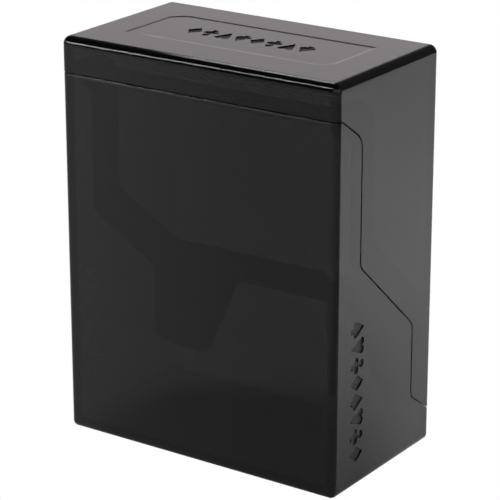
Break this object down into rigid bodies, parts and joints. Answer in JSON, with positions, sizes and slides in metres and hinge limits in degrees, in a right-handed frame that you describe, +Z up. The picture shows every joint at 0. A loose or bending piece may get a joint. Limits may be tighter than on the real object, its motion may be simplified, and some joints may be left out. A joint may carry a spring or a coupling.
{
  "type": "deck box",
  "caption": "Two-piece smoked hard-plastic box for one deck of sleeved cards, with a lift-off lid that slips over a collar.",
  "frame": {"origin": "centre of the underside, where the box stands", "axes": "+Z up through the roof; X across the width; -Y is the tall wall of the base, +Y the low wall with its tab"},
  "size_m": [0.076, 0.043, 0.0982],
  "materials": {
    "base_plastic": "smoked see-through black, polished",
    "lid_plastic": "smoked see-through black, polished"
  },
  "bodies": {
    "base": {"base": "base_plastic"},
    "lid": {"lid": "lid_plastic"}
  },
  "joints": [
    {"name": "lid_lift", "type": "slide", "parent": "base", "child": "lid", "axis": [0, 0, 1], "range_m": [0, 0.095]}
  ]
}
